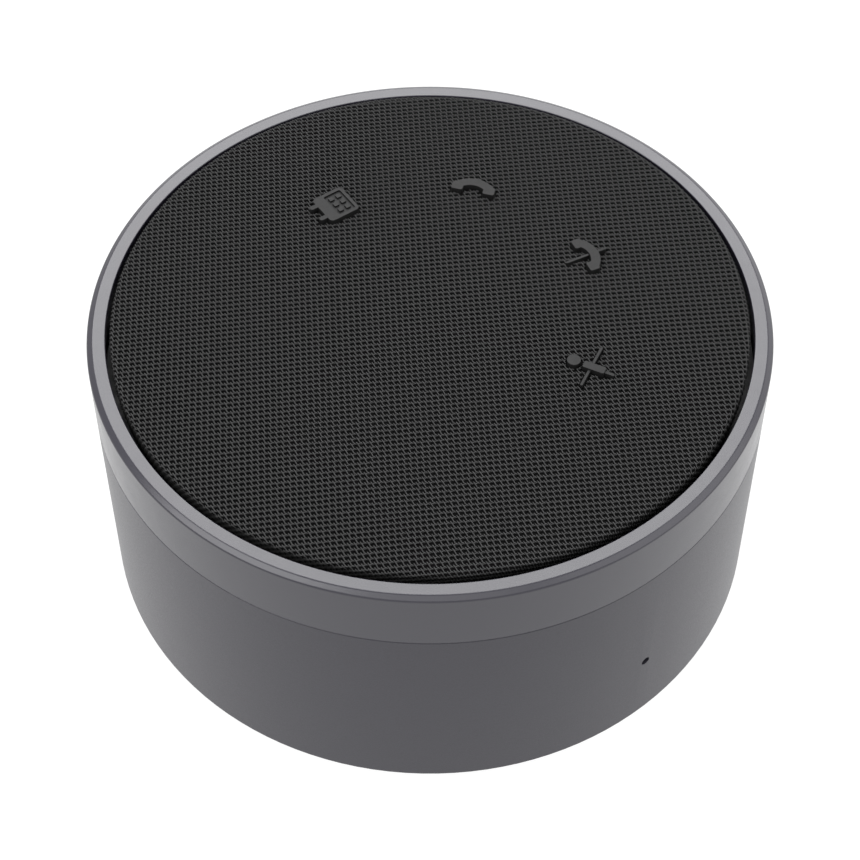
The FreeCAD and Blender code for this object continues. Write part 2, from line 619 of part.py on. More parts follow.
def speaker_cone():
    top_z = DRIVER_FLANGE_TOP_Z
    neck_r = FORMER_R + SKIN_GAP
    return revolved((neck_r, 42.6), (7.3, 42.6), (17.4, top_z - 0.5), (CONE_R, top_z - 0.5),
                    (CONE_R, top_z), (17.1, top_z), (neck_r, 43.3))


def dust_cap():
    rim_z = 44.06
    top_z = 46.4
    under_z = top_z - 0.35
    outer_r = 8.0
    inner_r = 7.6
    middle_r = 4.0
    return revolved(
        (0, top_z), ((middle_r, crown_z(middle_r, top_z, outer_r, rim_z)), (outer_r, rim_z)),
        (inner_r, rim_z), ((middle_r, crown_z(middle_r, under_z, inner_r, rim_z)), (0, under_z)))


def voice_coil_former():
    return ring(FORMER_R - 0.2, FORMER_R, 33.2, 43.6)


def voice_coil():
    return ring(FORMER_R + SKIN_GAP, COIL_R, 33.4, 37.4)


def driver_surround():
    """Half-roll rubber edge between cone and basket."""
    base_z = DRIVER_FLANGE_TOP_Z + SKIN_GAP
    skin = 0.4
    middle_r = 20.2
    roll_r = 1.7
    return revolved(
        (23.4, base_z), (23.4, base_z + skin), (middle_r + roll_r, base_z + skin),
        ((middle_r, base_z + skin + roll_r), (middle_r - roll_r, base_z + skin)),
        (17.4, base_z + skin), (17.4, base_z), (middle_r - roll_r + skin, base_z),
        ((middle_r, base_z + roll_r - skin), (middle_r + roll_r - skin, base_z)))


def driver_spider():
    """Corrugated disc that centres the voice coil."""
    base_z = SPIDER_Z + SKIN_GAP
    skin = 0.3
    waves = 6
    start_r = 8.0
    pitch = 1.1
    height = 0.35
    upper = []
    lower = []
    for wave in range(waves):
        side = 1 if wave % 2 else -1
        middle_r = start_r + (wave + 0.5) * pitch
        end_r = start_r + (wave + 1) * pitch
        upper.append(((middle_r, base_z + skin + 0.4 + side * height), (end_r, base_z + skin + 0.4)))
        back_r = start_r + (waves - wave - 0.5) * pitch
        back_end_r = start_r + (waves - wave - 1) * pitch
        back_side = -1 if wave % 2 else 1
        lower.append(((back_r, base_z + 0.4 + back_side * height), (back_end_r, base_z + 0.4)))
    outer_r = start_r + waves * pitch
    return revolved(
        (FORMER_R + SKIN_GAP, base_z + 0.4), (FORMER_R + SKIN_GAP, base_z + skin + 0.4),
        (start_r, base_z + skin + 0.4), *upper, (outer_r + 0.3, base_z + skin), (16.4, base_z + skin),
        (16.4, base_z), (outer_r + 0.1, base_z), (outer_r, base_z + 0.4), *lower)


# ---- Electronics -----------------------------------------------------------------------
def main_board():
    parts = [rod(ORIGIN, BOARD_R, BOARD_Z, BOARD_TOP_Z), block(-7, 7, 40, 57, BOARD_Z, BOARD_TOP_Z)]
    holes = clear_holes(BOARD_SCREW_R, BOARD_SCREW_ANGLES, 0, 20, SMALL_SCREW)
    return without(united(parts), holes)


def shield_can():
    outside = pad(0, -13, 24, 18, 0.8, BOARD_TOP_Z, BOARD_TOP_Z + 2.4)
    return outside.cut(pad(0, -13, 23.4, 17.4, 0.5, BOARD_TOP_Z - 1, BOARD_TOP_Z + 2.1))


def wire_connectors():
    """One plug-in connector for each microphone and one for the speaker."""
    body = block(CONNECTOR_OUTER_R - 3.2, CONNECTOR_OUTER_R, -2.6, 2.6, BOARD_TOP_Z, BOARD_TOP_Z + 2.2)
    return [turned(body, angle) for angle in (MIC_ANGLES["front"], MIC_ANGLES["rear"], 180)]


def usb_c_shell():
    back_y = 51.0
    tube = bar_along_y(SOCKET_WIDTH, SOCKET_HEIGHT, back_y, SOCKET_FACE_Y, SOCKET_Z)
    return tube.cut(bar_along_y(SOCKET_WIDTH - 0.6, SOCKET_HEIGHT - 0.6, back_y + 0.6, FAR, SOCKET_Z))


def usb_c_tongue():
    return block(-3.35, 3.35, 51.6, SOCKET_FACE_Y - 0.9, SOCKET_Z - 0.35, SOCKET_Z + 0.35)


def mic_boot():
    """Rubber block with the sound channel from the case wall to the microphone."""
    body = block(54.0, OUTER_R, -3.6, 3.6, MIC_Z - 3.2, MIC_Z + 3.2)
    body = body.common(rod(ORIGIN, INNER_R - SKIN_GAP, 0, 60))
    channel = Part.makeCylinder(0.7, 10, Vector(52, 0, MIC_Z), ALONG_X)
    pocket = Part.makeCylinder(1.55, 4, Vector(57.1, 0, MIC_Z), ALONG_X)
    return without(body, [channel, pocket])


def mic_mesh():
    return Part.makeCylinder(1.5, 0.15, Vector(57.12, 0, MIC_Z), ALONG_X)


def mic_board():
    board = block(53.2, 54.0, -4.0, 4.0, MIC_Z - 3.6, MIC_Z + 3.6)
    return board.cut(Part.makeCylinder(0.4, 4, Vector(52, 0, MIC_Z), ALONG_X))


def mic_capsule():
    return pad(0, 0, 2.95, 3.76, 0.2, 0, 1.1).transformed(FreeCAD.Placement(
        Vector(52.1, 0, MIC_Z), FreeCAD.Rotation(ALONG_Y, 90)).toMatrix())


def mic_leads():
    """Two wires from a microphone board to its connector."""
    runs = [(53.2, MIC_Z - 2.8), (50.2, MIC_Z - 2.8), (50.2, LEAD_ENTRY_Z), (CONNECTOR_OUTER_R, LEAD_ENTRY_Z)]
    return [wire([Vector(x, y, z) for x, z in runs], 0.4, 3.0) for y in (-0.7, 0.7)]


def speaker_leads():
    """Two wires from the driver terminals, through the grommet, to the connector."""
    runs = [(-23.0, 42.9), (-30.0, 42.9), (-30.0, SPEAKER_LEAD_Z), (-47.6, SPEAKER_LEAD_Z),
            (-47.6, LEAD_ENTRY_Z), (-CONNECTOR_OUTER_R, LEAD_ENTRY_Z)]
    return [wire([Vector(x, y, z) for x, z in runs], 0.45, 5.0) for y in (-0.9, 0.9)]


# ---- Nodes -----------------------------------------------------------------------------
NODES = {
    "lower_housing": lower_housing(),
    "bezel_ring": bezel_ring(),
    "base_cover": base_cover(),
    "rubber_foot": rubber_foot(),
    "fabric_cover": fabric_cover(),
    "grille_frame": grille_frame(),
    "top_chassis": top_chassis(),
    "speaker_box": speaker_box(),
    "speaker_box_gasket": speaker_box_gasket(),
    "lead_grommet": lead_grommet(),
    "driver_basket": driver_basket(),
    "driver_terminals": driver_terminals(),
    "driver_gasket": driver_gasket(),
    "driver_top_plate": ring(7.4, 15.2, TOP_PLATE_Z, BASKET_BOTTOM_Z),
    "driver_magnet": ring(9.0, 16.0, MAGNET_Z, TOP_PLATE_Z),
    "driver_yoke": driver_yoke(),
    "driver_surround": driver_surround(),
    "driver_spider": driver_spider(),
    "speaker_cone": speaker_cone(),
    "dust_cap": dust_cap(),
    "voice_coil_former": voice_coil_former(),
    "voice_coil": voice_coil(),
    "key_board": key_board(),
    "key_switches": key_switches(),
    "flex_connectors": flex_connectors(),
    "key_flex_cable": key_flex_cable(),
    "main_board": main_board(),
    "shield_can": shield_can(),
    "amplifier_chip": block(14, 20, 6, 12, BOARD_TOP_Z, BOARD_TOP_Z + 0.9),
    "power_inductor": pad(20, 20, 6, 6, 1.0, BOARD_TOP_Z, BOARD_TOP_Z + 2.8),
    "wire_connectors": wire_connectors(),
    "usb_c_shell": usb_c_shell(),
    "usb_c_tongue": usb_c_tongue(),
    "speaker_leads": speaker_leads(),
    "base_screws": screws(POST_R, POST_ANGLES, FOOT_TOP_Z + 1, CASE_SCREW_LENGTH, CASE_SCREW, True),
    "chassis_screws": screws(POST_R, POST_ANGLES, CHASSIS_TOP_Z, CASE_SCREW_LENGTH, TALL_SCREW),
    "grille_screws": screws(GRILLE_POST_R, GRILLE_POST_ANGLES, CHASSIS_Z, GRILLE_SCREW_LENGTH,
                            SMALL_SCREW, True),
    "box_screws": screws(BOX_SCREW_R, BOX_SCREW_ANGLES, BOX_FLANGE_Z, BOX_SCREW_LENGTH, SMALL_SCREW, True),
    "driver_screws": screws(DRIVER_SCREW_R, DRIVER_SCREW_ANGLES, DRIVER_FLANGE_TOP_Z, DRIVER_SCREW_LENGTH,
                            DRIVER_SCREW),
    "key_board_screws": screws(KEY_BOARD_SCREW_R, KEY_BOARD_SCREW_ANGLES, KEY_BOARD_TOP_Z,
                               KEY_BOARD_SCREW_LENGTH, TINY_SCREW),
    "main_board_screws": screws(BOARD_SCREW_R, BOARD_SCREW_ANGLES, BOARD_TOP_Z, BOARD_SCREW_LENGTH,
                                SMALL_SCREW),
}
for key_name, key_angle in KEY_ANGLES.items():
    NODES[key_name + "_key"] = key_cap(key_name)
    NODES[key_name + "_plunger"] = switch_plunger(key_angle)
for mic_name, mic_angle in MIC_ANGLES.items():
    NODES[mic_name + "_mic_boot"] = turned(mic_boot(), mic_angle)
    NODES[mic_name + "_mic_mesh"] = turned(mic_mesh(), mic_angle)
    NODES[mic_name + "_mic_board"] = turned(mic_board(), mic_angle)
    NODES[mic_name + "_mic_capsule"] = turned(mic_capsule(), mic_angle)
    NODES[mic_name + "_mic_leads"] = [turned(lead, mic_angle) for lead in mic_leads()]

os.makedirs("parts", exist_ok=True)
for node_name, shape in NODES.items():
    solids = shape if isinstance(shape, list) else shape.Solids
    part = solids[0] if len(solids) == 1 else Part.makeCompound(solids)
    print("%-20s %d solids  %9.1f mm3  valid %s" % (node_name, len(solids), part.Volume, part.isValid()))
    part.exportStep("parts/%s.step" % node_name)
print(len(NODES), "nodes; symbols rise to", round(dome_z(KEY_CIRCLE_R) + KEY_PROUD, 2))
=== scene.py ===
"""The looks of a round conference speakerphone: its knitted top, shells, keys and every finish.

Metres, Z up, the rubber foot rests on z = 0, +X is the user's right and +Y points to the rear socket.
"""

import json
import math
import random

import bmesh
import bpy
from bpy.props import FloatProperty, FloatVectorProperty, IntProperty, PointerProperty
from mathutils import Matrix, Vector
from mathutils.bvhtree import BVHTree


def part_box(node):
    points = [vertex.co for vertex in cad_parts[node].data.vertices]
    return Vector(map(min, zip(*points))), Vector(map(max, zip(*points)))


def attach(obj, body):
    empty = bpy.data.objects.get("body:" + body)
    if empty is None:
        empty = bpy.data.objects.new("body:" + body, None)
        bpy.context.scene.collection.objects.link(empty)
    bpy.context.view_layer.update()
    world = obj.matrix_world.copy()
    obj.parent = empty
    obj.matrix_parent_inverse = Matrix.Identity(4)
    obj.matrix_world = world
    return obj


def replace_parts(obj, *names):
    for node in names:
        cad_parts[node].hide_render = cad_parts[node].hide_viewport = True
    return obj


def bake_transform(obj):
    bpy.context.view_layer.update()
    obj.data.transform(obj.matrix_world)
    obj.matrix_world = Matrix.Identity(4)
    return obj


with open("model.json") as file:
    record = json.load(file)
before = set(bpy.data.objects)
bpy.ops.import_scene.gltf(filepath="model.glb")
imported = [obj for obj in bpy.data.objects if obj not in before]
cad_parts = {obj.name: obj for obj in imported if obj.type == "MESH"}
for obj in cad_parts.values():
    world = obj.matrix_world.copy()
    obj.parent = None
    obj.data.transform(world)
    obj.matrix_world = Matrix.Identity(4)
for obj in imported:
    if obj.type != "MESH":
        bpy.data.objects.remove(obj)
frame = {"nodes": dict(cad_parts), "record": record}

bl_info = {
    "name": "Conference speakerphone",
    "version": (1, 0, 0),
    "blender": (4, 5, 0),
    "location": "3D View > Sidebar > Speakerphone",
    "description": "Builds the knitted top, the shells, the keys and the finishes of a round speakerphone",
    "category": "Object",
}

MM = 0.001
NODES = frame["nodes"]
SLOT_OF = {part["node"]: part["material_slot"] for part in frame["record"]["subparts"]}
KEY_NAMES = ("meeting", "call", "end_call", "mute")

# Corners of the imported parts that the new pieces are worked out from.
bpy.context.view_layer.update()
RING_LOW, RING_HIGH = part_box("bezel_ring")
COVER_LOW, COVER_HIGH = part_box("fabric_cover")

# The covered grille: a shallow dome, a rounded shoulder and a straight side.
SHOULDER = 1.0 * MM
EDGE_R = COVER_HIGH.x - SHOULDER
DOME_RISE = COVER_HIGH.z - RING_HIGH.z - SHOULDER
DOME_R = (EDGE_R ** 2 + DOME_RISE ** 2) / (2 * DOME_RISE)
SHOULDER_LENGTH = math.pi / 2 * SHOULDER
FABRIC_T = 0.8 * MM
BACKING_SINK = 0.45 * MM     # depth of the dark layer below the outside of the cover

# Steps shared by the mesh code.
WELD = 0.0001 * MM
SHARP = math.radians(32)


# ---- Settings --------------------------------------------------------------------------
class ShellSettings(bpy.types.PropertyGroup):
    case_colour: FloatVectorProperty(
        name="Case colour", description="Colour of the lower housing", subtype="COLOR",
        default=(0.0275, 0.0262, 0.0345), min=0, max=1)
    ring_edge: FloatProperty(
        name="Ring edge", description="Rounding of the ring's edges",
        default=0.18 * MM, min=0.02 * MM, max=0.3 * MM, subtype="DISTANCE", unit="LENGTH")
    ring_steps: IntProperty(
        name="Ring steps", description="Number of faces round the ring", default=256, min=48, max=512)
    ring_colour: FloatVectorProperty(
        name="Ring colour", description="Colour of the bezel ring", subtype="COLOR",
        default=(0.0195, 0.0182, 0.0272), min=0, max=1)


class KnitSettings(bpy.types.PropertyGroup):
    course: FloatProperty(
        name="Course", description="Distance from one stitch to the next above it",
        default=1.057 * MM, min=0.6 * MM, max=3 * MM, subtype="DISTANCE", unit="LENGTH")
    course_lean: FloatProperty(
        name="Course lean", description="How far the columns of stitches lean to the left",
        default=math.radians(2.9), subtype="ANGLE", unit="ROTATION")
    wale: FloatProperty(
        name="Wale", description="Distance from one stitch to the next beside it",
        default=1.055 * MM, min=0.6 * MM, max=3 * MM, subtype="DISTANCE", unit="LENGTH")
    wale_rise: FloatProperty(
        name="Wale rise", description="How far the rows of stitches climb to the right",
        default=math.radians(7.2), subtype="ANGLE", unit="ROTATION")
    strand_radius: FloatProperty(
        name="Strand radius", description="Half the thickness of a yarn",
        default=0.15 * MM, min=0.05 * MM, max=0.5 * MM, subtype="DISTANCE", unit="LENGTH")
    looseness: FloatProperty(
        name="Looseness", description="How far a stitch may stray from its place",
        default=0.02 * MM, min=0, max=0.1 * MM, subtype="DISTANCE", unit="LENGTH")
    pieces: IntProperty(
        name="Pieces", description="Number of strips that the yarns are kept in",
        default=7, min=1, max=12)
    yarn_colour: FloatVectorProperty(
        name="Yarn colour", description="Colour of the knitted yarn", subtype="COLOR",
        default=(0.0505, 0.0505, 0.051), min=0, max=1)
    seed: IntProperty(name="Seed", description="Seed of the stitches' unevenness", default=7)


class KeySettings(bpy.types.PropertyGroup):
    edge: FloatProperty(
        name="Edge", description="Size of the rounded edge round a symbol's top",
        default=0.06 * MM, min=0.01 * MM, max=0.2 * MM, subtype="DISTANCE", unit="LENGTH")
    colour: FloatVectorProperty(
        name="Key colour", description="Colour of the rubber keys", subtype="COLOR",
        default=(0.018, 0.018, 0.0183), min=0, max=1)


class StageSettings(bpy.types.PropertyGroup):
    eye: FloatVectorProperty(
        name="Eye", description="Place of the camera", subtype="TRANSLATION", unit="LENGTH",
        default=(0.0, -0.26352, 0.35033))
    tilt: FloatProperty(
        name="Tilt", description="How far the camera looks below the horizon",
        default=math.radians(51.108), subtype="ANGLE", unit="ROTATION")
    lens: FloatProperty(
        name="Lens", description="Focal length of the camera", default=94.5, min=10, max=300)
    floor_colour: FloatVectorProperty(
        name="Floor colour", description="Colour of the floor", subtype="COLOR",
        default=(0.1, 0.1, 0.1), min=0, max=1)
    floor_glow: FloatProperty(
        name="Floor glow", description="Strength of the light that comes through the floor",
        default=0.93, min=0)
    daylight: FloatProperty(
        name="Daylight", description="Strength of the even light from all round", default=0.87, min=0)
    softbox: FloatProperty(
        name="Softbox", description="Power of the large lamp above and behind", default=11.3,
        min=0, subtype="POWER")
    side_softbox: FloatProperty(
        name="Side softbox", description="Power of the lamp on the left, which the other side lamps follow",
        default=7.5, min=0, subtype="POWER")


# ---- Finishes --------------------------------------------------------------------------
class Finish:
    """Procedural finish; plain values go on the shader's own sockets, patterns go in through nodes."""

    def __init__(self, name, colour, roughness, **plain):
        self.material = bpy.data.materials.new(name)
        self.material.use_nodes = True
        self.tree = self.material.node_tree
        self.shader = self.tree.nodes["Principled BSDF"]
        self.colour = tuple(colour)
        self.shader.inputs["Base Color"].default_value = (*colour, 1)
        self.shader.inputs["Roughness"].default_value = roughness
        for socket, value in plain.items():
            self.shader.inputs[socket.replace("_", " ")].default_value = value
        coordinates = self.node("ShaderNodeTexCoord")
        self.place = coordinates.outputs["Object"]
        self.normal = coordinates.outputs["Normal"]

    def node(self, kind, **settings):
        """New node of a kind, with its settings."""
        made = self.tree.nodes.new(kind)
        for key, value in settings.items():
            setattr(made, key, value)
        return made

    def turned(self, scale, angle=0.0):
        """Object coordinates, turned about Z and stretched."""
        mapping = self.node("ShaderNodeMapping")
        mapping.inputs["Rotation"].default_value = (0, 0, angle)
        mapping.inputs["Scale"].default_value = scale
        self.tree.links.new(self.place, mapping.inputs["Vector"])
        return mapping.outputs["Vector"]

    def height(self, vector):
        """Z of a vector."""
        parts = self.node("ShaderNodeSeparateXYZ")
        self.tree.links.new(vector, parts.inputs["Vector"])
        return parts.outputs["Z"]

    def noise(self, size, detail=2.0, place=None):
        """Cloudy pattern from 0 to 1 whose features measure about size."""
        made = self.node("ShaderNodeTexNoise")
        made.inputs["Scale"].default_value = 1 / size
        made.inputs["Detail"].default_value = detail
        self.tree.links.new(place or self.place, made.inputs["Vector"])
        return made.outputs["Fac"]

    def cells(self, size):
        """Small pits, size apart."""
        made = self.node("ShaderNodeTexVoronoi")
        made.inputs["Scale"].default_value = 1 / size
        self.tree.links.new(self.place, made.inputs["Vector"])
        return made.outputs["Distance"]

    def waves(self, size, direction, kind="BANDS", distortion=0.0):
        """Even ridges, size apart."""
        made = self.node("ShaderNodeTexWave", wave_type=kind)
        if kind == "BANDS":
            made.bands_direction = direction
        else:
            made.rings_direction = direction
        made.inputs["Scale"].default_value = math.pi / 10 / size
        made.inputs["Distortion"].default_value = distortion
        self.tree.links.new(self.place, made.inputs["Vector"])
        return made.outputs["Fac"]

    def between(self, value, low, high, start=0.0, end=1.0):
        """Number that runs from low to high as value runs from start to end."""
        made = self.node("ShaderNodeMapRange")
        for socket, number in zip(("From Min", "From Max", "To Min", "To Max"), (start, end, low, high)):
            made.inputs[socket].default_value = number
        self.tree.links.new(value, made.inputs["Value"])
        return made.outputs["Result"]

    def maths(self, operation, first, second):
        """Two patterns put together."""
        made = self.node("ShaderNodeMath", operation=operation)
        self.tree.links.new(first, made.inputs[0])
        self.tree.links.new(second, made.inputs[1])
        return made.outputs["Value"]

    def tint(self, value, other, start=0.0, end=1.0):
        """Turns the base colour into the other colour as value runs from start to end."""
        mix = self.node("ShaderNodeMix", data_type="RGBA")
        share = self.between(value, 0, 1, start, end)
        colour_from = self.shader.inputs["Base Color"]
        self.tree.links.new(share, mix.inputs["Factor"])
        if colour_from.is_linked:
            self.tree.links.new(colour_from.links[0].from_socket, mix.inputs["A"])
        else:
            mix.inputs["A"].default_value = (*self.colour, 1)
        mix.inputs["B"].default_value = (*other, 1)
        self.tree.links.new(mix.outputs["Result"], colour_from)
        return self

    def shade(self, value, darkest, lightest, start=0.0, end=1.0):
        """Varies the base colour in brightness."""
        self.colour = tuple(channel * darkest for channel in self.colour)
        light = [channel * lightest / darkest for channel in self.colour]
        return self.tint(value, light, start, end)

    def darken(self, value, share, start=0.0, end=1.0):
        """Scales the base colour, from share of it at start to all of it at end."""
        colour_from = self.shader.inputs["Base Color"]
        scale = self.node("ShaderNodeVectorMath", operation="SCALE")
        self.tree.links.new(colour_from.links[0].from_socket, scale.inputs[0])
        self.tree.links.new(self.between(value, share, 1, start, end), scale.inputs["Scale"])
        self.tree.links.new(scale.outputs["Vector"], colour_from)
        return self

    def gloss(self, value, low, high, start=0.0, end=1.0):
        """Varies the roughness."""
        self.tree.links.new(self.between(value, low, high, start, end), self.shader.inputs["Roughness"])
        return self

    def relief(self, value, depth):
        """Raises the surface by depth where value is 1; reliefs add up."""
        bump = self.node("ShaderNodeBump")
        bump.inputs["Strength"].default_value = 1.0
        bump.inputs["Distance"].default_value = depth
        self.tree.links.new(value, bump.inputs["Height"])
        normal = self.shader.inputs["Normal"]
        if normal.is_linked:
            self.tree.links.new(normal.links[0].from_socket, bump.inputs["Normal"])
        self.tree.links.new(bump.outputs["Normal"], normal)
        return self


def case_plastic(shells):
    """Satin spray-finished plastic with a fine orange-peel grain and faint speckles."""
    finish = Finish("case_plastic", shells.case_colour, 0.34, IOR=1.42)
    grain = finish.noise(0.28 * MM, 3.0)
    speckle = finish.noise(0.16 * MM, 1.0)
    finish.shade(speckle, 0.86, 1.16, 0.36, 0.64)
    finish.gloss(grain, 0.3, 0.38, 0.3, 0.7)
    return finish.relief(grain, 0.012 * MM).relief(finish.noise(9 * MM, 2.0), 0.02 * MM)


def ring_metal(shells):
    """Fine-blasted and anodised aluminium."""
    finish = Finish("ring_metal", shells.ring_colour, 0.24, IOR=1.6)
    blast = finish.noise(0.09 * MM, 2.0)
    finish.shade(blast, 0.9, 1.1, 0.35, 0.65)
    finish.gloss(finish.noise(3 * MM, 3.0), 0.22, 0.26, 0.3, 0.7)
    return finish.relief(blast, 0.004 * MM)


def base_plastic():
    """Moulded plastic with a coarse spark-eroded grain."""
    finish = Finish("base_plastic", (0.03, 0.03, 0.032), 0.6)
    spark = finish.cells(0.35 * MM)
    finish.shade(finish.noise(6 * MM, 3.0), 0.85, 1.15, 0.3, 0.7)
    return finish.relief(spark, 0.03 * MM).relief(finish.noise(0.2 * MM), 0.01 * MM)


def foot_rubber():
    """Matt rubber, dusty in places."""
    finish = Finish("foot_rubber", (0.02, 0.02, 0.021), 0.85)
    finish.shade(finish.noise(1.5 * MM, 4.0), 0.8, 1.35, 0.3, 0.7)
    finish.gloss(finish.noise(4 * MM), 0.75, 0.92)
    return finish.relief(finish.noise(0.3 * MM, 3.0), 0.02 * MM)


def knit_yarn(knit):
    """Dull polyester yarn with filaments along it, with painted shade on its sides and painted shade down
    the cover's side at the hem.
    """
    finish = Finish("knit_fabric", knit.yarn_colour, 0.75, Specular_IOR_Level=0.25)
    along = finish.turned((0.22, 1, 1), math.radians(40))
    filaments = finish.noise(0.05 * MM, 2.0, along)
    finish.shade(filaments, 0.75, 1.25, 0.3, 0.7)
    # painted shade: the yarn darkens where its surface turns away from straight up, standing for the shade
    # between the strands
    finish.darken(finish.height(finish.normal), 0.25, 0.25, 0.94)
    # painted shade: the yarn darkens below the top of the ring, down the cover's side in the gap by the ring
    # lip
    finish.darken(finish.height(finish.place), 0.1, RING_HIGH.z, RING_HIGH.z + 0.8 * SHOULDER)
    return finish.relief(filaments, 0.02 * MM)


def lining_and_hole_shade():
    """Lining behind the yarns, near-black so that it is also painted shade for the holes between the
    stitches.
    """
    # painted shade: near-black colour that stands for the shade seen through the holes between stitches
    finish = Finish("lining_and_hole_shade", (0.003, 0.003, 0.0031), 0.95, Specular_IOR_Level=0.1)
    finish.shade(finish.noise(0.4 * MM), 0.6, 1.4, 0.3, 0.7)
    return finish.relief(finish.cells(0.5 * MM), 0.06 * MM)


def key_rubber(keys):
    """Silicone rubber, with painted shade on the upright sides of the symbols."""
    finish = Finish("key_rubber", keys.colour, 0.6, Specular_IOR_Level=0.22)
    grain = finish.noise(0.12 * MM, 2.0)
    finish.shade(grain, 0.88, 1.12, 0.3, 0.7)
    # painted shade: the rubber darkens where its surface turns away from straight up, on the symbols' sides
    finish.darken(finish.height(finish.normal), 0.3, 0.3, 0.9)
    finish.gloss(finish.noise(1.0 * MM), 0.55, 0.68)
    return finish.relief(grain, 0.006 * MM)


def moulded(name, colour, roughness, grain=0.3 * MM, depth=0.012 * MM):
    """Moulded plastic or rubber with a spark-eroded grain and faint flow marks."""
    finish = Finish(name, colour, roughness)
    finish.shade(finish.noise(5 * MM, 3.0), 0.85, 1.15, 0.3, 0.7)
    finish.gloss(finish.noise(2 * MM), roughness - 0.08, roughness + 0.08, 0.3, 0.7)
    return finish.relief(finish.noise(grain, 2.0), depth)


def plated(name, colour, roughness, brushed=(1, 1, 1)):
    """Bare or plated metal with fine drawn lines and dull patches."""
    finish = Finish(name, colour, roughness, Metallic=1.0)
    lines = finish.noise(0.08 * MM, 2.0, finish.turned(brushed))
    finish.shade(finish.noise(2.5 * MM, 3.0), 0.82, 1.1, 0.3, 0.7)
    finish.gloss(lines, roughness - 0.08, roughness + 0.12, 0.3, 0.7)
    return finish.relief(lines, 0.002 * MM)


def cloth(name, colour, pitch):
    """Fine woven cloth."""
    finish = Finish(name, colour, 0.9)
    warp = finish.waves(pitch, "X")
    weft = finish.waves(pitch, "Y")
    weave = finish.maths("MULTIPLY", warp, weft)
    finish.shade(weave, 0.55, 1.25)
    return finish.relief(weave, pitch / 6)


def speaker_paper():
    """Pressed paper pulp with fibres."""
    finish = Finish("speaker_paper", (0.035, 0.034, 0.033), 0.85)
    fibres = finish.noise(0.5 * MM, 5.0, finish.turned((1, 0.35, 1)))
    finish.shade(fibres, 0.7, 1.5, 0.35, 0.65)
    return finish.relief(fibres, 0.05 * MM)


def magnet_ferrite():
    """Ground ferrite with ring marks from grinding."""
    finish = Finish("magnet_ferrite", (0.06, 0.058, 0.056), 0.5, Metallic=0.3)
    grind = finish.waves(0.25 * MM, "Z", "RINGS", 0.6)
    finish.shade(finish.noise(0.6 * MM, 4.0), 0.75, 1.3, 0.3, 0.7)
    return finish.relief(grind, 0.006 * MM)


def coil_copper():
    """Enamelled wire wound in close turns."""
    finish = Finish("coil_copper", (0.72, 0.27, 0.12), 0.3, Metallic=1.0, Coat_Weight=0.6)
    turns = finish.waves(0.2 * MM, "Z")
    finish.shade(turns, 0.45, 1.1)
    return finish.relief(turns, 0.05 * MM)


def film(name, colour, lines):
    """Amber film; lines is the pitch of the copper tracks that show through it."""
    finish = Finish(name, colour, 0.35, Coat_Weight=0.4)
    tracks = finish.waves(lines, "DIAGONAL")
    finish.tint(tracks, (0.62, 0.28, 0.08), 0.55, 0.7)
    finish.shade(finish.noise(1.2 * MM, 3.0), 0.85, 1.1, 0.3, 0.7)
    return finish.relief(tracks, 0.01 * MM)


def board_laminate():
    """Green solder mask over copper tracks."""
    finish = Finish("board_laminate", (0.008, 0.075, 0.032), 0.35, Coat_Weight=0.5)
    lanes = finish.maths("MAXIMUM", finish.waves(1.6 * MM, "X"), finish.waves(2.3 * MM, "Y"))
    finish.tint(lanes, (0.02, 0.16, 0.06), 0.8, 0.86)
    finish.shade(finish.noise(0.5 * MM, 2.0), 0.9, 1.1, 0.3, 0.7)
    return finish.relief(lanes, 0.02 * MM)


def contact_gold():
    """Gold flash with fine wipe marks along the contacts."""
    finish = Finish("contact_gold", (0.83, 0.58, 0.22), 0.28, Metallic=1.0)
    wipes = finish.noise(0.05 * MM, 2.0, finish.turned((1, 0.1, 1)))
    finish.shade(wipes, 0.75, 1.05, 0.3, 0.7)
    return finish.gloss(wipes, 0.2, 0.4, 0.3, 0.7)


def chip_resin():
    """Moulded resin of a chip."""
    finish = Finish("chip_resin", (0.02, 0.02, 0.022), 0.55)
    finish.shade(finish.noise(0.25 * MM, 3.0), 0.8, 1.3, 0.3, 0.7)
    return finish.relief(finish.noise(0.1 * MM, 2.0), 0.01 * MM)


def lead_jacket():
    """Soft plastic round a lead."""
    finish = Finish("lead_jacket", (0.05, 0.012, 0.012), 0.4)
    finish.shade(finish.noise(1.0 * MM, 2.0), 0.85, 1.15, 0.3, 0.7)
    return finish.relief(finish.noise(0.2 * MM, 2.0), 0.01 * MM)


